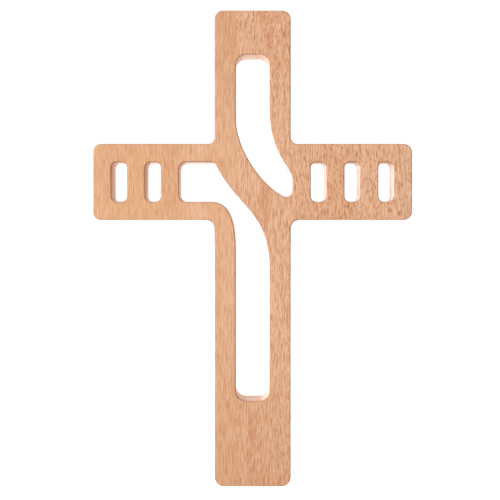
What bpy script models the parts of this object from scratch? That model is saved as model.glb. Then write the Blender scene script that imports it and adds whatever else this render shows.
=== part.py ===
"""A wall cross cut from one board of beech.

The post is a tall frame around an upper and a lower slot. A band sweeps across the crossing, from
the strip left of the upper slot to the strip right of the lower one. Each arm is a pair of rails
joined by upright bars, with rounded windows between them. All edges are rounded over. The back is
flat, with a keyhole slot in the head that slips over the head of a nail or a screw.

X runs to the right, Y into the wall and Z up. The origin lies on the back face at the centre of
the crossing, and the front face lies at minus the board's thickness along Y.
"""

import math

import bmesh
import bpy

MM = 0.001

# The board and the cross's outline
THICKNESS = 15 * MM
HEAD_TOP = 108 * MM
FOOT_BOTTOM = -192 * MM
ARM_REACH = 100.5 * MM
HALF_WIDTH = 24 * MM
ROUNDOVER = 0.9 * MM
HEAD_CORNER = 5.2 * MM
FOOT_CORNER = 6.0 * MM
LEFT_ARM_CORNER = 4.8 * MM
RIGHT_ARM_CORNER = 5.5 * MM
UPPER_CROTCH = 4.2 * MM
LOWER_CROTCH = 5.5 * MM

# The two long slots in the post
SLOT_HALF_WIDTH = 10.7 * MM
SLOT_CORNER = 6.6 * MM
UPPER_SLOT_TOP = 80.2 * MM
LOWER_SLOT_BOTTOM = -138 * MM

# The rails, bars and windows of the arms
RAIL_WIDTH = 11.5 * MM
BAR_WIDTH = 11.5 * MM
WINDOW_WIDTH = 9.8 * MM
WINDOW_CORNER = 3.6 * MM
RIGHT_WINDOWS = 3
LEFT_WINDOWS = 2
RAIL_EDGE = HALF_WIDTH - RAIL_WIDTH
PITCH = WINDOW_WIDTH + BAR_WIDTH
RIGHT_INNER_BAR = ARM_REACH - RIGHT_WINDOWS * PITCH - BAR_WIDTH
LEFT_INNER_BAR = -(ARM_REACH - LEFT_WINDOWS * PITCH - BAR_WIDTH)

# The upper edge of the sweeping band, from the slot's left side to the right arm's inner bar
UPPER_EDGE_START = 41 * MM
UPPER_EDGE_DROP = 22 * MM
UPPER_EDGE_CORNER_Z = -11.6 * MM
UPPER_EDGE_SLOPE = -0.46
UPPER_EDGE_PULL = 13 * MM
UPPER_EDGE_FILLET = 4.0 * MM

# The bend from the slot's right side out to the right arm's inner bar
UPPER_BEND_START = 46 * MM
UPPER_BEND_DROP = 29 * MM
UPPER_BEND_END = 1 * MM
UPPER_BEND_RISE = 9.5 * MM

# The lower edge of the band, from the left bay's upper corner to the lower slot's right side
BAY_CORNER = 4.7 * MM
LOWER_EDGE_CORNER_X = -24 * MM
LOWER_EDGE_SLOPE = -2.1
LOWER_EDGE_FILLET = 2.5 * MM
LOWER_EDGE_PULL = 29 * MM
LOWER_EDGE_END = -54.5 * MM
LOWER_EDGE_RISE = 36 * MM

# The turn from the left arm's lower rail into the strip left of the lower slot
LOWER_TURN_START = -26 * MM
LOWER_TURN_PULL = 13 * MM
LOWER_TURN_END = -44 * MM
LOWER_TURN_RISE = 16 * MM

# The keyhole slot in the back of the head
KEYHOLE_ENTRY_Z = 89.5 * MM
KEYHOLE_SEAT_Z = 97.5 * MM
KEYHOLE_ENTRY_RADIUS = 5.0 * MM
KEYHOLE_NECK_RADIUS = 2.5 * MM
KEYHOLE_HEAD_RADIUS = 4.6 * MM
KEYHOLE_LIP = 3.0 * MM
KEYHOLE_DEPTH = 9.0 * MM
CUT_PAST = 1.0 * MM

# How finely the curves are divided
CORNER_STEPS = 6
EDGE_STEPS = 20
TURN_STEPS = 12
KEYHOLE_STEPS = 12
ROUNDOVER_RESOLUTION = 2
WELD_DISTANCE = 0.01 * MM
SHARP_ANGLE = math.radians(32)

BEECH_COLOUR = (0.73, 0.41, 0.25, 1.0)
BEECH_ROUGHNESS = 0.6


def towards(point, target, distance):
    """The point a distance from one point in the direction of another."""
    dx, dz = target[0] - point[0], target[1] - point[1]
    length = math.hypot(dx, dz)
    return (point[0] + dx / length * distance, point[1] + dz / length * distance)


def arc(centre, radius, start, end, steps):
    """Points on an arc between two angles in radians."""
    angles = [start + (end - start) * i / steps for i in range(steps + 1)]
    return [(centre[0] + radius * math.cos(a), centre[1] + radius * math.sin(a)) for a in angles]


def fillet(before, corner, after, radius, steps=CORNER_STEPS):
    """Points of the arc that rounds a corner between two straight edges."""
    in_angle = math.atan2(before[1] - corner[1], before[0] - corner[0])
    out_angle = math.atan2(after[1] - corner[1], after[0] - corner[0])
    opening = (out_angle - in_angle + math.pi) % (2 * math.pi) - math.pi
    middle = in_angle + opening / 2
    reach = radius / math.sin(abs(opening) / 2)
    centre = (corner[0] + reach * math.cos(middle), corner[1] + reach * math.sin(middle))
    half_turn = (math.pi - abs(opening)) / 2
    side = math.copysign(1.0, opening)
    facing = middle + math.pi
    return arc(centre, radius, facing + side * half_turn, facing - side * half_turn, steps)


def cubic(start, start_handle, end_handle, end, steps):
    """Points inside a cubic Bezier curve, without its two ends."""
    points = []
    for i in range(1, steps):
        t = i / steps
        weights = ((1 - t) ** 3, 3 * t * (1 - t) ** 2, 3 * t * t * (1 - t), t ** 3)
        knots = (start, start_handle, end_handle, end)
        x = sum(w * k[0] for w, k in zip(weights, knots))
        z = sum(w * k[1] for w, k in zip(weights, knots))
        points.append((x, z))
    return points


def rounded_polygon(corners):
    """A closed outline of straight edges whose corners (x, z, radius) are all rounded."""
    points = []
    for i, (x, z, radius) in enumerate(corners):
        before = corners[i - 1]
        after = corners[(i + 1) % len(corners)]
        points += fillet(before, (x, z), after, radius)
    return points


def silhouette():
    """The cross's outer outline."""
    return rounded_polygon([
        (-HALF_WIDTH, HEAD_TOP, HEAD_CORNER),
        (HALF_WIDTH, HEAD_TOP, HEAD_CORNER),
        (HALF_WIDTH, HALF_WIDTH, UPPER_CROTCH),
        (ARM_REACH, HALF_WIDTH, RIGHT_ARM_CORNER),
        (ARM_REACH, -HALF_WIDTH, RIGHT_ARM_CORNER),
        (HALF_WIDTH, -HALF_WIDTH, LOWER_CROTCH),
        (HALF_WIDTH, FOOT_BOTTOM, FOOT_CORNER),
        (-HALF_WIDTH, FOOT_BOTTOM, FOOT_CORNER),
        (-HALF_WIDTH, -HALF_WIDTH, LOWER_CROTCH),
        (-ARM_REACH, -HALF_WIDTH, LEFT_ARM_CORNER),
        (-ARM_REACH, HALF_WIDTH, LEFT_ARM_CORNER),
        (-HALF_WIDTH, HALF_WIDTH, UPPER_CROTCH),
    ])


def upper_opening():
    """The upper slot, and the space that it widens into above the band's upper edge."""
    left, right = -SLOT_HALF_WIDTH, SLOT_HALF_WIDTH
    band_start = (left, UPPER_EDGE_START)
    bend_start = (right, UPPER_BEND_START)
    bend_end = (RIGHT_INNER_BAR, UPPER_BEND_END)
    top_left = (left, UPPER_SLOT_TOP)
    top_right = (right, UPPER_SLOT_TOP)
    bar_bottom = (RIGHT_INNER_BAR, UPPER_EDGE_CORNER_Z)
    along_band = (bar_bottom[0] - 1.0, bar_bottom[1] - UPPER_EDGE_SLOPE)

    points = fillet(band_start, top_left, top_right, SLOT_CORNER)
    points += fillet(top_left, top_right, bend_start, SLOT_CORNER)
    points += [bend_start]
    bend_start_handle = (right, UPPER_BEND_START - UPPER_BEND_DROP)
    bend_end_handle = (RIGHT_INNER_BAR, UPPER_BEND_END + UPPER_BEND_RISE)
    points += cubic(bend_start, bend_start_handle, bend_end_handle, bend_end, EDGE_STEPS)
    points += [bend_end]
    points += fillet(bend_end, bar_bottom, along_band, UPPER_EDGE_FILLET)
    band_end = points[-1]
    band_end_handle = towards(band_end, along_band, UPPER_EDGE_PULL)
    band_start_handle = (left, UPPER_EDGE_START - UPPER_EDGE_DROP)
    points += cubic(band_end, band_end_handle, band_start_handle, band_start, EDGE_STEPS)
    points += [band_start]
    return points


def lower_opening():
    """The left arm's open bay, which runs under the band into the lower slot."""
    left, right = -SLOT_HALF_WIDTH, SLOT_HALF_WIDTH
    band_corner = (LOWER_EDGE_CORNER_X, RAIL_EDGE)
    along_band = (band_corner[0] + 1.0, band_corner[1] + LOWER_EDGE_SLOPE)
    band_end = (right, LOWER_EDGE_END)
    bottom_right = (right, LOWER_SLOT_BOTTOM)
    bottom_left = (left, LOWER_SLOT_BOTTOM)
    turn_end = (left, LOWER_TURN_END)
    turn_start = (LOWER_TURN_START, -RAIL_EDGE)
    bay_bottom = (LEFT_INNER_BAR, -RAIL_EDGE)
    bay_top = (LEFT_INNER_BAR, RAIL_EDGE)

    points = fillet(bay_top, band_corner, along_band, LOWER_EDGE_FILLET)
    band_start = points[-1]
    band_start_handle = towards(band_start, along_band, LOWER_EDGE_PULL)
    band_end_handle = (right, LOWER_EDGE_END + LOWER_EDGE_RISE)
    points += cubic(band_start, band_start_handle, band_end_handle, band_end, EDGE_STEPS)
    points += [band_end]
    points += fillet(band_end, bottom_right, bottom_left, SLOT_CORNER)
    points += fillet(bottom_right, bottom_left, turn_end, SLOT_CORNER)
    points += [turn_end]
    turn_end_handle = (left, LOWER_TURN_END + LOWER_TURN_RISE)
    turn_start_handle = (LOWER_TURN_START + LOWER_TURN_PULL, -RAIL_EDGE)
    points += cubic(turn_end, turn_end_handle, turn_start_handle, turn_start, TURN_STEPS)
    points += [turn_start]
    points += fillet(turn_start, bay_bottom, bay_top, BAY_CORNER)
    points += fillet(bay_bottom, bay_top, band_corner, BAY_CORNER)
    return points


def window(centre_x):
    """One rounded upright window between an arm's rails."""
    left = centre_x - WINDOW_WIDTH / 2
    right = centre_x + WINDOW_WIDTH / 2
    return rounded_polygon([
        (left, RAIL_EDGE, WINDOW_CORNER),
        (right, RAIL_EDGE, WINDOW_CORNER),
        (right, -RAIL_EDGE, WINDOW_CORNER),
        (left, -RAIL_EDGE, WINDOW_CORNER),
    ])


def arm_windows():
    """The windows of both arms, counted inwards from the arm's end."""
    first = ARM_REACH - BAR_WIDTH - WINDOW_WIDTH / 2
    right = [window(first - i * PITCH) for i in range(RIGHT_WINDOWS)]
    left = [window(-(first - i * PITCH)) for i in range(LEFT_WINDOWS)]
    return right + left


def stadium(radius, low_z, high_z):
    """An upright outline with round ends, centred on the post."""
    steps = KEYHOLE_STEPS
    return (arc((0.0, high_z), radius, math.pi, 0.0, steps)
            + arc((0.0, low_z), radius, 0.0, -math.pi, steps))


def circle(radius, centre_z):
    """A round outline centred on the post."""
    return arc((0.0, centre_z), radius, 0.0, 2 * math.pi, 2 * KEYHOLE_STEPS)[:-1]


def upright_solid(name, outlines, front_y, back_y, roundover, collection):
    """A solid between two planes along Y: a filled 2D curve, made a mesh with welded caps."""
    curve = bpy.data.curves.new(name + "_outline", "CURVE")
    curve.dimensions = "2D"
    curve.fill_mode = "BOTH"
    curve.extrude = (back_y - front_y) / 2 - roundover
    curve.bevel_depth = roundover
    curve.bevel_resolution = ROUNDOVER_RESOLUTION
    curve.offset = -roundover
    for outline in outlines:
        spline = curve.splines.new("POLY")
        spline.points.add(len(outline) - 1)
        for point, (x, z) in zip(spline.points, outline):
            point.co = (x, z, 0.0, 1.0)
        spline.use_cyclic_u = True
    holder = bpy.data.objects.new(name + "_outline", curve)
    holder.rotation_euler = (math.radians(90), 0.0, 0.0)
    holder.location = (0.0, (front_y + back_y) / 2, 0.0)
    bpy.context.scene.collection.objects.link(holder)
    bpy.context.view_layer.update()

    evaluated = holder.evaluated_get(bpy.context.evaluated_depsgraph_get())
    mesh = bpy.data.meshes.new_from_object(evaluated)
    mesh.name = name
    weld(mesh)
    solid = bpy.data.objects.new(name, mesh)
    solid.matrix_world = holder.matrix_world.copy()
    collection.objects.link(solid)
    bpy.data.objects.remove(holder, do_unlink=True)
    return solid


def weld(mesh):
    """Join the caps of a converted curve to its sides, and even out the caps' triangles."""
    shape = bmesh.new()
    shape.from_mesh(mesh)
    bmesh.ops.remove_doubles(shape, verts=shape.verts, dist=WELD_DISTANCE)
    half = max(vertex.co.z for vertex in shape.verts)
    for side in (-half, half):
        cap = {face for face in shape.faces
               if all(abs(vertex.co.z - side) < WELD_DISTANCE for vertex in face.verts)}
        inside = [edge for edge in shape.edges
                  if len(edge.link_faces) == 2 and all(face in cap for face in edge.link_faces)]
        bmesh.ops.beautify_fill(shape, faces=list(cap), edges=inside, method="AREA")
    bmesh.ops.recalc_face_normals(shape, faces=shape.faces)
    shape.to_mesh(mesh)
    shape.free()


def cut(target, cutter):
    """Take a cutter out of a solid."""
    cutter.hide_render = True
    cutter.display_type = "WIRE"
    boolean = target.modifiers.new("cut_" + cutter.name, "BOOLEAN")
    boolean.operation = "DIFFERENCE"
    boolean.solver = "EXACT"
    boolean.object = cutter


def beech():
    """Pale, slightly pink, sanded beech."""
    material = bpy.data.materials.new("beech")
    material.use_nodes = True
    material.diffuse_color = BEECH_COLOUR
    shader = material.node_tree.nodes["Principled BSDF"]
    shader.inputs["Base Color"].default_value = BEECH_COLOUR
    shader.inputs["Roughness"].default_value = BEECH_ROUGHNESS
    shader.inputs["Metallic"].default_value = 0.0
    return material


def new_collection(name):
    """A collection linked to the scene."""
    collection = bpy.data.collections.new(name)
    bpy.context.scene.collection.children.link(collection)
    return collection


def cut_keyhole(cross, cutters):
    """Cut the entry, the narrow neck and the wider space behind its lips."""
    floor = -KEYHOLE_DEPTH
    lip = -KEYHOLE_LIP
    entry = circle(KEYHOLE_ENTRY_RADIUS, KEYHOLE_ENTRY_Z)
    neck = stadium(KEYHOLE_NECK_RADIUS, KEYHOLE_ENTRY_Z, KEYHOLE_SEAT_Z)
    behind = stadium(KEYHOLE_HEAD_RADIUS, KEYHOLE_ENTRY_Z, KEYHOLE_SEAT_Z)
    cut(cross, upright_solid("keyhole_entry", [entry], floor, CUT_PAST, 0.0, cutters))
    cut(cross, upright_solid("keyhole_neck", [neck], lip - CUT_PAST, CUT_PAST, 0.0, cutters))
    cut(cross, upright_solid("keyhole_seat", [behind], floor, lip, 0.0, cutters))


def build():
    """Make the cross."""
    for old in list(bpy.data.objects):
        bpy.data.objects.remove(old, do_unlink=True)
    parts = new_collection("wall_cross")
    cutters = new_collection("wall_cross_cutters")

    outlines = [silhouette(), upper_opening(), lower_opening()] + arm_windows()
    cross = upright_solid("cross", outlines, -THICKNESS, 0.0, ROUNDOVER, parts)
    cross.data.materials.append(beech())
    cross.data.shade_smooth()
    cross.data.set_sharp_from_angle(angle=SHARP_ANGLE)
    cut_keyhole(cross, cutters)


build()
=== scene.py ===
"""The looks of the wall cross: a finely rounded beech board with its grain, in a white studio.

The outline repeats the sizes of the solid, in metres. X runs to the right, Y into the wall and
Z up. The back face lies at Y 0, and the origin is at the centre of the crossing.
"""

import math

import bmesh
import bpy
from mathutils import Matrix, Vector


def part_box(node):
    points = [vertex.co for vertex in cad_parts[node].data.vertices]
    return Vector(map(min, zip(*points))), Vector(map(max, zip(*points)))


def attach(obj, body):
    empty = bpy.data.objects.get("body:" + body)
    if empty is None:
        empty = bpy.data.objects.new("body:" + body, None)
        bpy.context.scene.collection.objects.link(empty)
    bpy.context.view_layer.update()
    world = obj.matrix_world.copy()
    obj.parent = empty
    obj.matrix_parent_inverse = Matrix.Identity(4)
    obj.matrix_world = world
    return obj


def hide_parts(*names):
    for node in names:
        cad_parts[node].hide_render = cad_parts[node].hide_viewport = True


MM = 0.001

# The board and the cross's outline, read from the frame where it gives them
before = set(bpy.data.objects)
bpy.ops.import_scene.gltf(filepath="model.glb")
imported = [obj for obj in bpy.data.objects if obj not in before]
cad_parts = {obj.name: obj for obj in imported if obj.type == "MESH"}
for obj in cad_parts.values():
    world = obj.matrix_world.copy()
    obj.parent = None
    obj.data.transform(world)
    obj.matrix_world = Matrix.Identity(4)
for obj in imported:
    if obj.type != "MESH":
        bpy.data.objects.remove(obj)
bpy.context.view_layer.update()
LOW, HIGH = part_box("cross")
THICKNESS = HIGH[1] - LOW[1]
HEAD_TOP = HIGH[2]
FOOT_BOTTOM = LOW[2]
ARM_REACH = HIGH[0]
HALF_WIDTH = 24 * MM
ROUNDOVER = 0.9 * MM
HEAD_CORNER = 5.2 * MM
FOOT_CORNER = 6.0 * MM
LEFT_ARM_CORNER = 4.8 * MM
RIGHT_ARM_CORNER = 5.5 * MM
UPPER_CROTCH = 4.2 * MM
LOWER_CROTCH = 5.5 * MM

# The two long slots in the post
SLOT_HALF_WIDTH = 10.7 * MM
SLOT_CORNER = 6.6 * MM
UPPER_SLOT_TOP = 80.2 * MM
LOWER_SLOT_BOTTOM = -138 * MM

# The rails, bars and windows of the arms
RAIL_WIDTH = 11.5 * MM
BAR_WIDTH = 11.5 * MM
WINDOW_WIDTH = 9.8 * MM
WINDOW_CORNER = 3.6 * MM
RIGHT_WINDOWS = 3
LEFT_WINDOWS = 2
RAIL_EDGE = HALF_WIDTH - RAIL_WIDTH
PITCH = WINDOW_WIDTH + BAR_WIDTH
RIGHT_INNER_BAR = ARM_REACH - RIGHT_WINDOWS * PITCH - BAR_WIDTH
LEFT_INNER_BAR = -(ARM_REACH - LEFT_WINDOWS * PITCH - BAR_WIDTH)

# The upper edge of the sweeping band, from the slot's left side to the right arm's inner bar
UPPER_EDGE_START = 41 * MM
UPPER_EDGE_DROP = 22 * MM
UPPER_EDGE_CORNER_Z = -11.6 * MM
UPPER_EDGE_SLOPE = -0.46
UPPER_EDGE_PULL = 13 * MM
UPPER_EDGE_FILLET = 4.0 * MM

# The bend from the slot's right side out to the right arm's inner bar
UPPER_BEND_START = 46 * MM
UPPER_BEND_DROP = 29 * MM
UPPER_BEND_END = 1 * MM
UPPER_BEND_RISE = 9.5 * MM

# The lower edge of the band, from the left bay's upper corner to the lower slot's right side
BAY_CORNER = 4.7 * MM
LOWER_EDGE_CORNER_X = -24 * MM
LOWER_EDGE_SLOPE = -2.1
LOWER_EDGE_FILLET = 2.5 * MM
LOWER_EDGE_PULL = 29 * MM
LOWER_EDGE_END = -54.5 * MM
LOWER_EDGE_RISE = 36 * MM

# The turn from the left arm's lower rail into the strip left of the lower slot
LOWER_TURN_START = -26 * MM
LOWER_TURN_PULL = 13 * MM
LOWER_TURN_END = -44 * MM
LOWER_TURN_RISE = 16 * MM

# The keyhole slot in the back of the head
KEYHOLE_ENTRY_Z = 89.5 * MM
KEYHOLE_SEAT_Z = 97.5 * MM
KEYHOLE_ENTRY_RADIUS = 5.0 * MM
KEYHOLE_NECK_RADIUS = 2.5 * MM
KEYHOLE_HEAD_RADIUS = 4.6 * MM
KEYHOLE_LIP = 3.0 * MM
KEYHOLE_DEPTH = 9.0 * MM
CUT_PAST = 1.0 * MM

# How finely the curves are divided
CORNER_STEPS = 16
EDGE_STEPS = 64
TURN_STEPS = 36
KEYHOLE_STEPS = 32
ROUNDOVER_RESOLUTION = 6
WELD_DISTANCE = 0.003 * MM
SHARP_ANGLE = math.radians(32)

# Two staves are glued edge to edge: straight rift grain on the left, flecked flat grain on the
# right. The grain's own sizes are in millimetres, as its texture space is.
GLUE_LINE = -10.3
GLUE_LINE_WIDTH = 0.25
GRAIN_SWAY = 5.0
GRAIN_WAVER = 0.3
LEFT_STAVE_CALM = 0.6
RIGHT_STAVE_SHIFT = 9.0

# Growth rings: slanted at left, round a pith behind the board at right, each ending in late wood
RING_WIDTH = 2.7
LEFT_RING_SLANT = 0.25
PITH_X = -28.0
PITH_Y = 38.0
PITH_TILT = 0.02
LATE_WOOD_SPAN = (0.45, 0.95)
LATE_WOOD_STRENGTH = 0.16

# Each noise: its cells to the millimetre across the grain, into the board and along the grain,
# then its detail and roughness
NOISES = {
    "sway": ((0.02, 0.02, 0.006), 2.0, 0.5),
    "waver": ((0.25, 0.05, 0.06), 1.0, 0.5),
    "band": ((0.13, 1.0, 0.004), 2.0, 0.5),
    "streak": ((0.65, 1.0, 0.009), 1.0, 0.5),
    "fibre": ((2.1, 1.0, 0.06), 1.0, 0.6),
    "stroke": ((1.9, 0.8, 0.13), 0.0, 0.5),
}

# Each kind of spindle: the cell that holds one, in millimetres across the grain, into the board
# and along the grain, and how far the largest one reaches from its middle, in cells
SPINDLES = {
    "pore": ((0.75, 1.6, 5.6), 0.8),
    "small_fleck": ((0.85, 1.3, 4.6), 0.62),
    "large_fleck": ((1.3, 1.9, 12.0), 0.42),
}
SPINDLE_EXPONENT = 1.4
SPINDLE_FAINTEST = 0.45
# A spindle and its pale rim fade between two distances from its middle, 1 being its own reach
SPINDLE_EDGE = (0.75, 1.05, 1.0, 0.0)
RIM_INNER_EDGE = (1.0, 1.3)
RIM_OUTER_EDGE = (1.5, 2.1, 1.0, 0.0)

# How strongly a layer shows its colour: two values of its noise, and the strength at each
BAND_PALE = (0.5, 0.75, 0.0, 0.5)
BAND_RED = (0.3, 0.5, 0.6, 0.0)
STREAK_RED = (0.52, 0.66, 0.0, 0.34)
STREAK_PALE = (0.34, 0.48, 0.3, 0.0)
FIBRE_DARK = (0.48, 0.66, 0.0, 0.36)
FIBRE_PALE = (0.34, 0.5, 0.34, 0.0)
STROKE_DARK = (0.53, 0.66, 0.0, 0.6)
STROKE_PALE = (0.32, 0.46, 0.4, 0.0)
PORE_STRENGTH = 0.4
PORE_RIM_STRENGTH = 0.25
FLECK_STRENGTH = 0.86
FLECK_RIM_STRENGTH = 0.7

# Where the ray flecks crowd: by distance to the right and height in mm, and by how squarely the
# surface faces front or back
FLECKS_RIGHTWARDS = (-8.0, 60.0, 0.35, 1.0)
FLECKS_UPWARDS = (0.0, 70.0, 0.35, 0.85)
FLECKS_ON_FACES = (0.0, 0.3, 0.5, 1.0)

# Painted light and shade, by the same facing: the sawn walls painted paler, mostly for the strong light
# they catch and partly for the sawn wood's own lighter tone, and the rounded edges painted browner as
# shade
WALL_PAINTED_LIGHT = (0.0, 0.3, 0.4, 0.0)
EDGE_SHADE_PAST_WALL = (0.05, 0.4)
EDGE_SHADE_BEFORE_FACE = (0.9, 0.995, 0.44, 0.0)

# Painted shade: the wood is painted palest a little below the crossing and browner towards the head and
# the foot, as light falling off would show it, and the left stave reddens towards the head, by height in
# mm
BRIGHTEST_LIT_HEIGHT = -35.0
SHADE_FALLOFF_REACH = 165.0
SHADE_FALLOFF_STRENGTH = 0.62
LEFT_HEAD_RED = (20.0, 90.0, 0.1, 0.6)

# Long soft patches in the wood, in mm: x, z, half width, half height, colour and strength
PATCHES = {
    "left_arm_yellow": (-72.0, 0.0, 52.0, 60.0, "YELLOW_BEECH", 0.9),
    "left_arm_pale": (-36.5, 0.0, 10.0, 60.0, "PALE_BAND", 0.75),
    "left_arm_red": (-52.0, 0.0, 8.0, 60.0, "RED_BAND", 0.5),
    "left_arm_end_red": (-88.0, 20.0, 10.0, 22.0, "RED_BAND", 0.45),
    "right_arm_red": (50.0, 0.0, 26.0, 60.0, "RED_STREAK", 0.55),
    "right_arm_low": (48.0, -24.0, 34.0, 20.0, "RED_STREAK", 0.45),
    "right_arm_end": (100.0, 0.0, 20.0, 60.0, "GREY_BEECH", 0.7),
    "head_red": (10.0, 108.0, 6.0, 66.0, "RED_STREAK", 1.0),
    "right_strip_high": (18.0, 46.0, 10.0, 40.0, "PALE_BAND", 0.5),
    "right_strip_low": (17.0, -88.0, 12.0, 60.0, "PALE_BAND", 0.45),
    "head_left_red": (-14.5, 104.0, 6.0, 22.0, "RED_STREAK", 0.5),
    "head_pale": (-3.5, 92.0, 8.0, 32.0, "PALE_BAND", 0.8),
    "middle_pale": (1.0, -5.0, 22.0, 75.0, "PALE_BAND", 0.35),
    "crossing_streak": (9.0, -12.0, 5.0, 24.0, "RED_STREAK", 0.9),
    "crossing_low": (5.5, -24.0, 5.0, 12.0, "RED_STREAK", 0.8),
    "foot_flame": (-0.5, -172.0, 4.5, 52.0, "RED_STREAK", 0.85),
    "foot_flame_right": (7.0, -188.0, 4.0, 28.0, "RED_STREAK", 0.6),
}
# A patch has its full strength within this share of its reach, and the streaks fray its outline
PATCH_SOLID_WITHIN = 0.3
PATCH_FRAY = 1.2

# The wood's colours, given as the photograph's light shows them
COLOURS = {
    "MID_BEECH": (233, 181, 141),
    "PALE_BAND": (240, 193, 155),
    "YELLOW_BEECH": (227, 173, 125),
    "RED_BAND": (219, 160, 119),
    "GREY_BEECH": (226, 181, 150),
    "LATE_WOOD": (201, 140, 98),
    "RED_STREAK": (216, 149, 110),
    # painted shade towards the head and the foot
    "END_BROWN": (203, 145, 108),
    "FIBRE_BROWN": (190, 124, 80),
    "FLECK_BROWN": (168, 80, 26),
    "FLECK_LIGHT": (243, 200, 165),
    # painted light on the sawn walls, partly their own paler tone
    "SAWN_PALE": (245, 221, 206),
    # painted shade on the rounded edges
    "EDGE_BROWN": (168, 114, 82),
}
SRGB_OFFSET = 0.055
SRGB_EXPONENT = 2.4

# The satin finish: pores and flecks lie a little low, and the fibre varies the roughness
PIT_DEPTH = 0.8
BUMP_STRENGTH = 0.35
BUMP_DISTANCE = 0.05 * MM
ROUGHNESS = (0.3, 0.7, 0.4, 0.56)
SPECULAR_LEVEL = 0.35

# The camera, placed as in the photograph
CAMERA_PLACE = (-1.7 * MM, -445 * MM, -24 * MM)
CAMERA_LENS = 49.2
CAMERA_SENSOR = 36.0
CAMERA_SHIFT = -0.060
CAMERA_NEAREST = 0.01
CAMERA_FARTHEST = 100.0

# The pale floor, far below the cross
FLOOR_WIDTH = 30.0
FLOOR_HEIGHT = -0.6
FLOOR_GLOW = 1.0
FLOOR_GREY = (0.5, 0.5, 0.5, 1.0)
FLOOR_ROUGHNESS = 0.9
WHITE = (1.0, 1.0, 1.0, 1.0)

# The studio's soft lights: azimuth and elevation in degrees, and watts
LIGHT_DISTANCE = 3.0
LIGHT_WIDTH = 1.5
LIGHT_AIM = (0.0, 0.0, -0.04)
LIGHTS = {
    "key_left": (-47, 12, 78.0),
    "behind_left": (-166, 2, 20.0),
    "side_right": (122, 6, 24.0),
    "high": (180, 75, 9.0),
    "low": (180, -75, 52.0),
}

# The white surround: how it lights the wood and shines in its gloss, at the far left and the far
# right, and how bright the camera sees it
SURROUND_GLOW = (0.52, 0.39)
GLOSS_GLOW = (1.4, 0.8)
BACKDROP_GLOW = 1.05


def towards(point, target, distance):
    """The point a distance from one point in the direction of another."""
    dx, dz = target[0] - point[0], target[1] - point[1]
    length = math.hypot(dx, dz)
    return (point[0] + dx / length * distance, point[1] + dz / length * distance)


def on_slope(point, slope, run):
    """The point that a line of this slope reaches after a run sideways."""
    return (point[0] + run, point[1] + slope * run)


def arc(centre, radius, start, end, steps):
    """Points on an arc between two angles in radians."""
    angles = [start + (end - start) * i / steps for i in range(steps + 1)]
    return [(centre[0] + radius * math.cos(a), centre[1] + radius * math.sin(a)) for a in angles]


def fillet(before, corner, after, radius, steps=CORNER_STEPS):
    """Points of the arc that rounds a corner between two straight edges."""
    in_angle = math.atan2(before[1] - corner[1], before[0] - corner[0])
    out_angle = math.atan2(after[1] - corner[1], after[0] - corner[0])
    opening = (out_angle - in_angle + math.pi) % (2 * math.pi) - math.pi
    middle = in_angle + opening / 2
    reach = radius / math.sin(abs(opening) / 2)
    centre = (corner[0] + reach * math.cos(middle), corner[1] + reach * math.sin(middle))
    half_turn = (math.pi - abs(opening)) / 2
    side = math.copysign(1.0, opening)
    facing = middle + math.pi
    return arc(centre, radius, facing + side * half_turn, facing - side * half_turn, steps)


def cubic(start, start_handle, end_handle, end, steps):
    """Points inside a cubic Bezier curve, without its two ends."""
    points = []
    for i in range(1, steps):
        t = i / steps
        weights = ((1 - t) ** 3, 3 * t * (1 - t) ** 2, 3 * t * t * (1 - t), t ** 3)
        knots = (start, start_handle, end_handle, end)
        x = sum(w * k[0] for w, k in zip(weights, knots))
        z = sum(w * k[1] for w, k in zip(weights, knots))
        points.append((x, z))
    return points


def rounded_polygon(corners):
    """A closed outline of straight edges whose corners (x, z, radius) are all rounded."""
    points = []
    for i, (x, z, radius) in enumerate(corners):
        before = corners[i - 1]
        after = corners[(i + 1) % len(corners)]
        points += fillet(before, (x, z), after, radius)
    return points


def silhouette():
    """The cross's outer outline."""
    return rounded_polygon([
        (-HALF_WIDTH, HEAD_TOP, HEAD_CORNER),
        (HALF_WIDTH, HEAD_TOP, HEAD_CORNER),
        (HALF_WIDTH, HALF_WIDTH, UPPER_CROTCH),
        (ARM_REACH, HALF_WIDTH, RIGHT_ARM_CORNER),
        (ARM_REACH, -HALF_WIDTH, RIGHT_ARM_CORNER),
        (HALF_WIDTH, -HALF_WIDTH, LOWER_CROTCH),
        (HALF_WIDTH, FOOT_BOTTOM, FOOT_CORNER),
        (-HALF_WIDTH, FOOT_BOTTOM, FOOT_CORNER),
        (-HALF_WIDTH, -HALF_WIDTH, LOWER_CROTCH),
        (-ARM_REACH, -HALF_WIDTH, LEFT_ARM_CORNER),
        (-ARM_REACH, HALF_WIDTH, LEFT_ARM_CORNER),
        (-HALF_WIDTH, HALF_WIDTH, UPPER_CROTCH),
    ])


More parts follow.
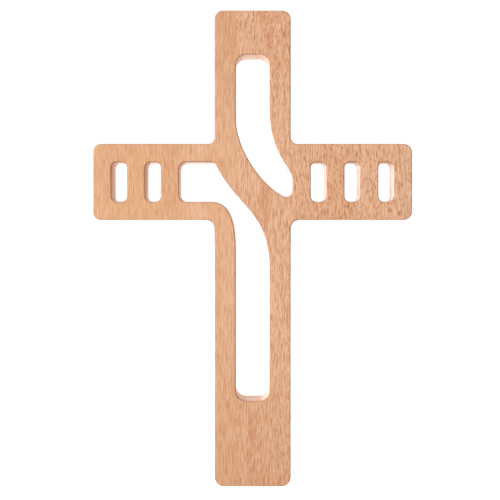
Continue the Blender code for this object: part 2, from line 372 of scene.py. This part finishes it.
def upper_opening():
    """The upper slot, and the space that it widens into above the band's upper edge."""
    left, right = -SLOT_HALF_WIDTH, SLOT_HALF_WIDTH
    band_start = (left, UPPER_EDGE_START)
    bend_start = (right, UPPER_BEND_START)
    bend_end = (RIGHT_INNER_BAR, UPPER_BEND_END)
    top_left = (left, UPPER_SLOT_TOP)
    top_right = (right, UPPER_SLOT_TOP)
    bar_bottom = (RIGHT_INNER_BAR, UPPER_EDGE_CORNER_Z)
    along_band = on_slope(bar_bottom, UPPER_EDGE_SLOPE, -1.0)

    points = fillet(band_start, top_left, top_right, SLOT_CORNER)
    points += fillet(top_left, top_right, bend_start, SLOT_CORNER)
    points += [bend_start]
    bend_start_handle = (right, UPPER_BEND_START - UPPER_BEND_DROP)
    bend_end_handle = (RIGHT_INNER_BAR, UPPER_BEND_END + UPPER_BEND_RISE)
    points += cubic(bend_start, bend_start_handle, bend_end_handle, bend_end, EDGE_STEPS)
    points += [bend_end]
    points += fillet(bend_end, bar_bottom, along_band, UPPER_EDGE_FILLET)
    band_end = points[-1]
    band_end_handle = towards(band_end, along_band, UPPER_EDGE_PULL)
    band_start_handle = (left, UPPER_EDGE_START - UPPER_EDGE_DROP)
    points += cubic(band_end, band_end_handle, band_start_handle, band_start, EDGE_STEPS)
    points += [band_start]
    return points


def lower_opening():
    """The left arm's open bay, which runs under the band into the lower slot."""
    left, right = -SLOT_HALF_WIDTH, SLOT_HALF_WIDTH
    band_corner = (LOWER_EDGE_CORNER_X, RAIL_EDGE)
    along_band = on_slope(band_corner, LOWER_EDGE_SLOPE, 1.0)
    band_end = (right, LOWER_EDGE_END)
    bottom_right = (right, LOWER_SLOT_BOTTOM)
    bottom_left = (left, LOWER_SLOT_BOTTOM)
    turn_end = (left, LOWER_TURN_END)
    turn_start = (LOWER_TURN_START, -RAIL_EDGE)
    bay_bottom = (LEFT_INNER_BAR, -RAIL_EDGE)
    bay_top = (LEFT_INNER_BAR, RAIL_EDGE)

    points = fillet(bay_top, band_corner, along_band, LOWER_EDGE_FILLET)
    band_start = points[-1]
    band_start_handle = towards(band_start, along_band, LOWER_EDGE_PULL)
    band_end_handle = (right, LOWER_EDGE_END + LOWER_EDGE_RISE)
    points += cubic(band_start, band_start_handle, band_end_handle, band_end, EDGE_STEPS)
    points += [band_end]
    points += fillet(band_end, bottom_right, bottom_left, SLOT_CORNER)
    points += fillet(bottom_right, bottom_left, turn_end, SLOT_CORNER)
    points += [turn_end]
    turn_end_handle = (left, LOWER_TURN_END + LOWER_TURN_RISE)
    turn_start_handle = (LOWER_TURN_START + LOWER_TURN_PULL, -RAIL_EDGE)
    points += cubic(turn_end, turn_end_handle, turn_start_handle, turn_start, TURN_STEPS)
    points += [turn_start]
    points += fillet(turn_start, bay_bottom, bay_top, BAY_CORNER)
    points += fillet(bay_bottom, bay_top, band_corner, BAY_CORNER)
    return points


def window(centre_x):
    """One rounded upright window between an arm's rails."""
    left = centre_x - WINDOW_WIDTH / 2
    right = centre_x + WINDOW_WIDTH / 2
    return rounded_polygon([
        (left, RAIL_EDGE, WINDOW_CORNER),
        (right, RAIL_EDGE, WINDOW_CORNER),
        (right, -RAIL_EDGE, WINDOW_CORNER),
        (left, -RAIL_EDGE, WINDOW_CORNER),
    ])


def arm_windows():
    """The windows of both arms, counted inwards from the arm's end."""
    first = ARM_REACH - BAR_WIDTH - WINDOW_WIDTH / 2
    right = [window(first - i * PITCH) for i in range(RIGHT_WINDOWS)]
    left = [window(-(first - i * PITCH)) for i in range(LEFT_WINDOWS)]
    return right + left


def stadium(radius, low_z, high_z):
    """An upright outline with round ends, centred on the post."""
    steps = KEYHOLE_STEPS
    return (arc((0.0, high_z), radius, math.pi, 0.0, steps)
            + arc((0.0, low_z), radius, 0.0, -math.pi, steps))


def circle(radius, centre_z):
    """A round outline centred on the post."""
    return arc((0.0, centre_z), radius, 0.0, 2 * math.pi, 2 * KEYHOLE_STEPS)[:-1]


def upright_solid(name, outlines, front_y, back_y, roundover):
    """A solid between two planes along Y: a filled 2D curve, made a mesh with welded caps."""
    curve = bpy.data.curves.new(name + "_outline", "CURVE")
    curve.dimensions = "2D"
    curve.fill_mode = "BOTH"
    curve.extrude = (back_y - front_y) / 2 - roundover
    curve.bevel_depth = roundover
    curve.bevel_resolution = ROUNDOVER_RESOLUTION
    curve.offset = -roundover
    for outline in outlines:
        spline = curve.splines.new("POLY")
        spline.points.add(len(outline) - 1)
        for point, (x, z) in zip(spline.points, outline):
            point.co = (x, z, 0.0, 1.0)
        spline.use_cyclic_u = True
    holder = bpy.data.objects.new(name + "_outline", curve)
    holder.rotation_euler = (math.radians(90), 0.0, 0.0)
    holder.location = (0.0, (front_y + back_y) / 2, 0.0)
    bpy.context.scene.collection.objects.link(holder)
    bpy.context.view_layer.update()

    evaluated = holder.evaluated_get(bpy.context.evaluated_depsgraph_get())
    mesh = bpy.data.meshes.new_from_object(evaluated)
    mesh.name = name
    weld(mesh)
    mesh.transform(holder.matrix_world)
    solid = bpy.data.objects.new(name, mesh)
    bpy.context.scene.collection.objects.link(solid)
    bpy.data.objects.remove(holder, do_unlink=True)
    return solid


def weld(mesh):
    """Join the caps of a converted curve to its sides, and even out the caps' triangles."""
    shape = bmesh.new()
    shape.from_mesh(mesh)
    bmesh.ops.remove_doubles(shape, verts=shape.verts, dist=WELD_DISTANCE)
    half = max(vertex.co.z for vertex in shape.verts)
    for side in (-half, half):
        cap = {face for face in shape.faces
               if all(abs(vertex.co.z - side) < WELD_DISTANCE for vertex in face.verts)}
        inside = [edge for edge in shape.edges
                  if len(edge.link_faces) == 2 and all(face in cap for face in edge.link_faces)]
        bmesh.ops.beautify_fill(shape, faces=list(cap), edges=inside, method="AREA")
    bmesh.ops.recalc_face_normals(shape, faces=shape.faces)
    shape.to_mesh(mesh)
    shape.free()


def cut(target, cutter):
    """Take a cutter out of a solid."""
    boolean = target.modifiers.new("cut_" + cutter.name, "BOOLEAN")
    boolean.operation = "DIFFERENCE"
    boolean.solver = "EXACT"
    boolean.object = cutter


def cut_keyhole(board):
    """Cut the entry, the narrow neck and the wider space behind its lips; returns the cutters."""
    floor = -KEYHOLE_DEPTH
    lip = -KEYHOLE_LIP
    entry = circle(KEYHOLE_ENTRY_RADIUS, KEYHOLE_ENTRY_Z)
    neck = stadium(KEYHOLE_NECK_RADIUS, KEYHOLE_ENTRY_Z, KEYHOLE_SEAT_Z)
    behind = stadium(KEYHOLE_HEAD_RADIUS, KEYHOLE_ENTRY_Z, KEYHOLE_SEAT_Z)
    cutters = [
        upright_solid("keyhole_entry", [entry], floor, CUT_PAST, 0.0),
        upright_solid("keyhole_neck", [neck], lip - CUT_PAST, CUT_PAST, 0.0),
        upright_solid("keyhole_seat", [behind], floor, lip, 0.0),
    ]
    for cutter in cutters:
        cut(board, cutter)
    return cutters


def make_board():
    """The cross as one finely rounded mesh, with the keyhole cut into its back."""
    outlines = [silhouette(), upper_opening(), lower_opening()] + arm_windows()
    board = upright_solid("cross_board", outlines, -THICKNESS, 0.0, ROUNDOVER)
    cutters = cut_keyhole(board)
    bpy.context.view_layer.update()
    evaluated = board.evaluated_get(bpy.context.evaluated_depsgraph_get())
    mesh = bpy.data.meshes.new_from_object(evaluated)
    board.modifiers.clear()
    board.data = mesh
    for cutter in cutters:
        bpy.data.objects.remove(cutter, do_unlink=True)
    mesh.name = "cross_board"
    mesh.shade_smooth()
    mesh.set_sharp_from_angle(angle=SHARP_ANGLE)
    weighted = board.modifiers.new("flat_faces_first", "WEIGHTED_NORMAL")
    weighted.keep_sharp = True
    return board


class Graph:
    """The nodes of a material or the world, with short calls for the ones used here."""

    def __init__(self, owner):
        owner.use_nodes = True
        self.tree = owner.node_tree
        self.tree.nodes.clear()

    def node(self, kind, **settings):
        """A new node with its settings."""
        made = self.tree.nodes.new(kind)
        for name, value in settings.items():
            setattr(made, name, value)
        return made

    def feed(self, socket, value):
        """Link a socket to another, or set its value."""
        if isinstance(value, bpy.types.NodeSocket):
            self.tree.links.new(value, socket)
        else:
            socket.default_value = value

    def math(self, operation, *values):
        """One Math node's result."""
        made = self.node("ShaderNodeMath", operation=operation)
        for socket, value in zip(made.inputs, values):
            self.feed(socket, value)
        return made.outputs[0]

    def product(self, first, *others):
        """Some values multiplied together."""
        result = first
        for other in others:
            result = self.math("MULTIPLY", result, other)
        return result

    def vector(self, operation, *values, output="Vector"):
        """One Vector Math node's result."""
        made = self.node("ShaderNodeVectorMath", operation=operation)
        for socket, value in zip(made.inputs, values):
            self.feed(socket, value)
        return made.outputs[output]

    def combine(self, x, y, z):
        """A vector from three values."""
        made = self.node("ShaderNodeCombineXYZ")
        for socket, value in zip(made.inputs, (x, y, z)):
            self.feed(socket, value)
        return made.outputs[0]

    def split(self, vector):
        """A vector's three values."""
        made = self.node("ShaderNodeSeparateXYZ")
        self.feed(made.inputs[0], vector)
        return made.outputs[0], made.outputs[1], made.outputs[2]

    def ramp(self, value, low, high, to_low=0.0, to_high=1.0):
        """A value mapped smoothly from one range to another, held at its ends."""
        made = self.node("ShaderNodeMapRange", interpolation_type="SMOOTHSTEP")
        for name, number in (("Value", value), ("From Min", low), ("From Max", high),
                             ("To Min", to_low), ("To Max", to_high)):
            self.feed(made.inputs[name], number)
        return made.outputs["Result"]

    def mix(self, kind, factor, first, second):
        """The first value where the factor is 0, and the second where it is 1."""
        made = self.node("ShaderNodeMix", data_type="RGBA" if kind == "Color" else "FLOAT")
        self.feed(made.inputs["Factor"], factor)
        self.feed(named(made.inputs, "A_" + kind), first)
        self.feed(named(made.inputs, "B_" + kind), second)
        return named(made.outputs, "Result_" + kind)

    def tint(self, colour, name, *strengths):
        """A colour blended towards one of the wood's, by the product of some strengths."""
        return self.mix("Color", self.product(*strengths), colour, tone(name))

    def noise(self, place, name):
        """One of the grain's noises, smooth and in 0 to 1."""
        per_mm, detail, roughness = NOISES[name]
        made = self.node("ShaderNodeTexNoise", noise_dimensions="3D")
        self.feed(made.inputs["Vector"], self.vector("MULTIPLY", place, per_mm))
        self.feed(made.inputs["Scale"], 1.0)
        self.feed(made.inputs["Detail"], detail)
        self.feed(made.inputs["Roughness"], roughness)
        return made.outputs["Fac"]

    def spindles(self, place, name):
        """Pointed spindles along Z, one in each cell and of mixed sizes; returns them and their rims."""
        cell, largest_reach = SPINDLES[name]
        made = self.node("ShaderNodeTexVoronoi", voronoi_dimensions="3D", feature="F1",
                         distance="MINKOWSKI")
        self.feed(made.inputs["Vector"], self.vector("DIVIDE", place, cell))
        self.feed(made.inputs["Scale"], 1.0)
        self.feed(made.inputs["Exponent"], SPINDLE_EXPONENT)
        size, depth, _ = self.split(made.outputs["Color"])
        away = self.math("DIVIDE", made.outputs["Distance"], self.product(size, largest_reach))
        strength = self.ramp(depth, 0.0, 1.0, SPINDLE_FAINTEST, 1.0)
        inside = self.product(self.ramp(away, *SPINDLE_EDGE), strength)
        rim = self.product(self.ramp(away, *RIM_INNER_EDGE), self.ramp(away, *RIM_OUTER_EDGE))
        return inside, self.product(rim, strength)


def named(sockets, identifier):
    """The socket with an identifier, on a node whose sockets share their names."""
    return next(socket for socket in sockets if socket.identifier == identifier)


def tone(name):
    """One of the wood's colours, as the shader's linear colour."""
    def channel(value):
        return ((value / 255 + SRGB_OFFSET) / (1 + SRGB_OFFSET)) ** SRGB_EXPONENT
    return tuple(channel(value) for value in COLOURS[name]) + (1.0,)


def wood_place(graph, coordinates):
    """The solid's own space in millimetres, straight and with its grain swaying from side to side."""
    place = graph.vector("DIVIDE", coordinates, (MM, MM, MM))
    sway = graph.math("SUBTRACT", graph.noise(place, "sway"), 0.5)
    waver = graph.math("SUBTRACT", graph.noise(place, "waver"), 0.5)
    aside = graph.math("ADD", graph.product(sway, GRAIN_SWAY), graph.product(waver, GRAIN_WAVER))
    return place, graph.vector("ADD", place, graph.combine(aside, 0.0, 0.0))


def growth_rings(graph, grain, right_stave):
    """The distance across the rings: even at left, and round a pith behind the board at right."""
    x, y, z = graph.split(grain)
    across_left = graph.math("ADD", x, graph.product(y, LEFT_RING_SLANT))
    from_pith_x = graph.math("SUBTRACT", x, PITH_X)
    from_pith_y = graph.math("SUBTRACT", y, PITH_Y)
    from_pith = graph.combine(from_pith_x, from_pith_y, 0.0)
    radius = graph.vector("LENGTH", from_pith, output="Value")
    across_right = graph.math("ADD", radius, graph.product(z, PITH_TILT))
    return graph.mix("Float", right_stave, across_left, across_right)


def patches(graph, grain, streak, colour):
    """The long soft patches of paler or redder wood, frayed along the grain."""
    fray = graph.product(graph.math("SUBTRACT", streak, 0.5), PATCH_FRAY)
    for x, z, half_width, half_height, name, strength in PATCHES.values():
        away = graph.vector("SUBTRACT", grain, (x, 0.0, z))
        away = graph.vector("MULTIPLY", away, (1 / half_width, 0.0, 1 / half_height))
        distance = graph.math("ADD", graph.vector("LENGTH", away, output="Value"), fray)
        colour = graph.tint(colour, name, graph.ramp(distance, PATCH_SOLID_WITHIN, 1.0, strength, 0.0))
    return colour


def broad_tones(graph, place, grain, right_stave, calm):
    """The wood's bands, patches and streaks, its late wood, and the painted shade that browns the head
    and foot.
    """
    _, _, height = graph.split(place)
    _, _, along = graph.split(grain)
    across = growth_rings(graph, grain, right_stave)
    streamed = graph.combine(across, graph.product(right_stave, RIGHT_STAVE_SHIFT), along)
    band = graph.noise(streamed, "band")
    streak = graph.noise(streamed, "streak")
    colour = graph.tint(tone("MID_BEECH"), "PALE_BAND", graph.ramp(band, *BAND_PALE))
    colour = graph.tint(colour, "RED_BAND", graph.ramp(band, *BAND_RED))
    colour = patches(graph, grain, streak, colour)
    colour = graph.tint(colour, "RED_STREAK", calm, graph.ramp(streak, *STREAK_RED))
    colour = graph.tint(colour, "PALE_BAND", calm, graph.ramp(streak, *STREAK_PALE))

    ring = graph.math("FRACT", graph.math("DIVIDE", across, RING_WIDTH))
    late = graph.ramp(ring, *LATE_WOOD_SPAN)
    colour = graph.tint(colour, "LATE_WOOD", late, LATE_WOOD_STRENGTH)

    left_stave = graph.math("SUBTRACT", 1.0, right_stave)
    colour = graph.tint(colour, "RED_BAND", left_stave, graph.ramp(height, *LEFT_HEAD_RED))
    # painted shade: browner towards the head and the foot, away from the brightest lit height
    away = graph.math("DIVIDE", graph.math("SUBTRACT", height, BRIGHTEST_LIT_HEIGHT), SHADE_FALLOFF_REACH)
    return graph.tint(colour, "END_BROWN", away, away, SHADE_FALLOFF_STRENGTH)


def fibres(graph, grain, fibre, calm, colour):
    """Straight fibres, longer strokes and fine pores; returns the colour and the pores."""
    stroke = graph.noise(grain, "stroke")
    pores, rims = graph.spindles(grain, "pore")
    colour = graph.tint(colour, "FIBRE_BROWN", graph.ramp(fibre, *FIBRE_DARK))
    colour = graph.tint(colour, "FLECK_LIGHT", graph.ramp(fibre, *FIBRE_PALE))
    colour = graph.tint(colour, "FIBRE_BROWN", calm, graph.ramp(stroke, *STROKE_DARK))
    colour = graph.tint(colour, "FLECK_LIGHT", calm, graph.ramp(stroke, *STROKE_PALE))
    colour = graph.tint(colour, "FIBRE_BROWN", calm, pores, PORE_STRENGTH)
    colour = graph.tint(colour, "FLECK_LIGHT", rims, PORE_RIM_STRENGTH)
    return colour, pores


def ray_flecks(graph, place, grain, right_stave, facing, colour):
    """The right stave's dark flecks and their pale rims; returns the colour and the flecks."""
    x, _, z = graph.split(place)
    crowd = graph.math("MAXIMUM", graph.ramp(x, *FLECKS_RIGHTWARDS), graph.ramp(z, *FLECKS_UPWARDS))
    plenty = graph.product(right_stave, crowd, graph.ramp(facing, *FLECKS_ON_FACES))
    small, small_rims = graph.spindles(grain, "small_fleck")
    large, large_rims = graph.spindles(grain, "large_fleck")
    rims = graph.product(graph.math("MAXIMUM", small_rims, large_rims), plenty)
    flecks = graph.product(graph.math("MAXIMUM", small, large), plenty)
    colour = graph.tint(colour, "FLECK_LIGHT", rims, FLECK_RIM_STRENGTH)
    colour = graph.tint(colour, "FLECK_BROWN", flecks, FLECK_STRENGTH)
    return colour, flecks


def painted_wall_light_and_edge_shade(graph, facing, colour):
    """Sawn walls painted paler than the faces, mostly as painted light and partly as the sawn wood's
    tone, and the rounded edges between them painted browner as shade.
    """
    # painted shade: the rounded edges between walls and faces are browned
    edge = graph.product(graph.ramp(facing, *EDGE_SHADE_PAST_WALL), graph.ramp(facing, *EDGE_SHADE_BEFORE_FACE))
    # painted light: the walls made paler for the light they catch, partly the sawn wood's tone
    colour = graph.tint(colour, "SAWN_PALE", graph.ramp(facing, *WALL_PAINTED_LIGHT))
    return graph.tint(colour, "EDGE_BROWN", edge)


def satin_finish(graph, colour, fibre, pits):
    """The wood's shader: a soft satin sheen over fine relief."""
    bump = graph.node("ShaderNodeBump")
    graph.feed(bump.inputs["Strength"], BUMP_STRENGTH)
    graph.feed(bump.inputs["Distance"], BUMP_DISTANCE)
    graph.feed(bump.inputs["Height"], graph.math("SUBTRACT", fibre, graph.product(pits, PIT_DEPTH)))
    shader = graph.node("ShaderNodeBsdfPrincipled")
    graph.feed(shader.inputs["Base Color"], colour)
    graph.feed(shader.inputs["Roughness"], graph.ramp(fibre, *ROUGHNESS))
    graph.feed(shader.inputs["Specular IOR Level"], SPECULAR_LEVEL)
    graph.feed(shader.inputs["Normal"], bump.outputs["Normal"])
    output = graph.node("ShaderNodeOutputMaterial")
    graph.feed(output.inputs["Surface"], shader.outputs["BSDF"])


def beech():
    """Beech under a clear satin finish, with its grain set in the solid's own space."""
    material = bpy.data.materials.new("beech_grain")
    graph = Graph(material)
    coordinates = graph.node("ShaderNodeTexCoord")
    place, grain = wood_place(graph, coordinates.outputs["Object"])
    _, depthwise, _ = graph.split(coordinates.outputs["Normal"])
    facing = graph.math("ABSOLUTE", depthwise)
    x, _, _ = graph.split(place)
    right_stave = graph.ramp(x, GLUE_LINE - GLUE_LINE_WIDTH / 2, GLUE_LINE + GLUE_LINE_WIDTH / 2)
    calm = graph.ramp(right_stave, 0.0, 1.0, LEFT_STAVE_CALM, 1.0)

    fibre = graph.noise(grain, "fibre")
    colour = broad_tones(graph, place, grain, right_stave, calm)
    colour, pores = fibres(graph, grain, fibre, calm, colour)
    colour, flecks = ray_flecks(graph, place, grain, right_stave, facing, colour)
    # painted light on the walls and painted shade on the rounded edges
    colour = painted_wall_light_and_edge_shade(graph, facing, colour)
    satin_finish(graph, colour, fibre, graph.math("MAXIMUM", flecks, pores))
    return material


def make_camera():
    """A camera at the photograph's place, nearly square on to the board."""
    data = bpy.data.cameras.new("camera")
    data.lens = CAMERA_LENS
    data.sensor_width = CAMERA_SENSOR
    data.shift_y = CAMERA_SHIFT
    data.clip_start = CAMERA_NEAREST
    data.clip_end = CAMERA_FARTHEST
    camera = bpy.data.objects.new("camera", data)
    camera.location = CAMERA_PLACE
    camera.rotation_euler = (math.radians(90), 0.0, 0.0)
    bpy.context.scene.collection.objects.link(camera)
    bpy.context.scene.camera = camera


def soft_light(name, azimuth, elevation, watts):
    """A square area light that points at the cross: azimuth 0 is in front, and 90 to its right."""
    data = bpy.data.lights.new(name, "AREA")
    data.shape = "SQUARE"
    data.size = LIGHT_WIDTH
    data.energy = watts
    turn = math.radians(azimuth)
    rise = math.radians(elevation)
    level = math.cos(rise)
    direction = Vector((math.sin(turn) * level, -math.cos(turn) * level, math.sin(rise)))
    light = bpy.data.objects.new(name, data)
    light.location = direction * LIGHT_DISTANCE
    light.visible_camera = False
    light.rotation_euler = (Vector(LIGHT_AIM) - light.location).to_track_quat("-Z", "Y").to_euler()
    bpy.context.scene.collection.objects.link(light)


def make_floor():
    """A wide pale floor far below the cross, bright enough to melt into the surround."""
    bpy.ops.mesh.primitive_plane_add(size=FLOOR_WIDTH, location=(0.0, 0.0, FLOOR_HEIGHT))
    floor = bpy.context.object
    floor.name = "floor"
    material = bpy.data.materials.new("floor_white")
    material.use_nodes = True
    shader = material.node_tree.nodes["Principled BSDF"]
    shader.inputs["Base Color"].default_value = FLOOR_GREY
    shader.inputs["Roughness"].default_value = FLOOR_ROUGHNESS
    shader.inputs["Emission Color"].default_value = WHITE
    shader.inputs["Emission Strength"].default_value = FLOOR_GLOW
    floor.data.materials.append(material)
    floor.visible_diffuse = False
    floor.visible_glossy = False
    floor.visible_shadow = False


def background(graph, strength):
    """A white background, whose strength is a number or comes from another node."""
    made = graph.node("ShaderNodeBackground")
    graph.feed(made.inputs["Color"], WHITE)
    graph.feed(made.inputs["Strength"], strength)
    return made.outputs[0]


def sloping_glow(graph, sideways, glow):
    """A strength that changes evenly from the far left to the far right."""
    left, right = glow
    return graph.math("MULTIPLY_ADD", sideways, (right - left) / 2, (left + right) / 2)


def make_surround():
    """A white surround that lights the wood, shows in its gloss and stands behind it."""
    world = bpy.data.worlds.new("studio")
    bpy.context.scene.world = world
    graph = Graph(world)
    direction = graph.node("ShaderNodeTexCoord")
    sideways, _, _ = graph.split(direction.outputs["Generated"])
    ray = graph.node("ShaderNodeLightPath")
    shown = background(graph, sloping_glow(graph, sideways, SURROUND_GLOW))
    glows = {"Is Glossy Ray": sloping_glow(graph, sideways, GLOSS_GLOW), "Is Camera Ray": BACKDROP_GLOW}
    for kind, strength in glows.items():
        choose = graph.node("ShaderNodeMixShader")
        graph.feed(choose.inputs[0], ray.outputs[kind])
        graph.feed(choose.inputs[1], shown)
        graph.feed(choose.inputs[2], background(graph, strength))
        shown = choose.outputs[0]
    output = graph.node("ShaderNodeOutputWorld")
    graph.feed(output.inputs["Surface"], shown)


def make_studio():
    """The surround, the floor and the soft lights, shown in plain colours."""
    bpy.context.scene.view_settings.view_transform = "Standard"
    make_surround()
    make_floor()
    for name, (azimuth, elevation, watts) in LIGHTS.items():
        soft_light(name, azimuth, elevation, watts)


make_camera()
board = make_board()
board.data.materials.clear()
board.data.materials.append(beech())
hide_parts("cross")
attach(board, "root")
make_studio()
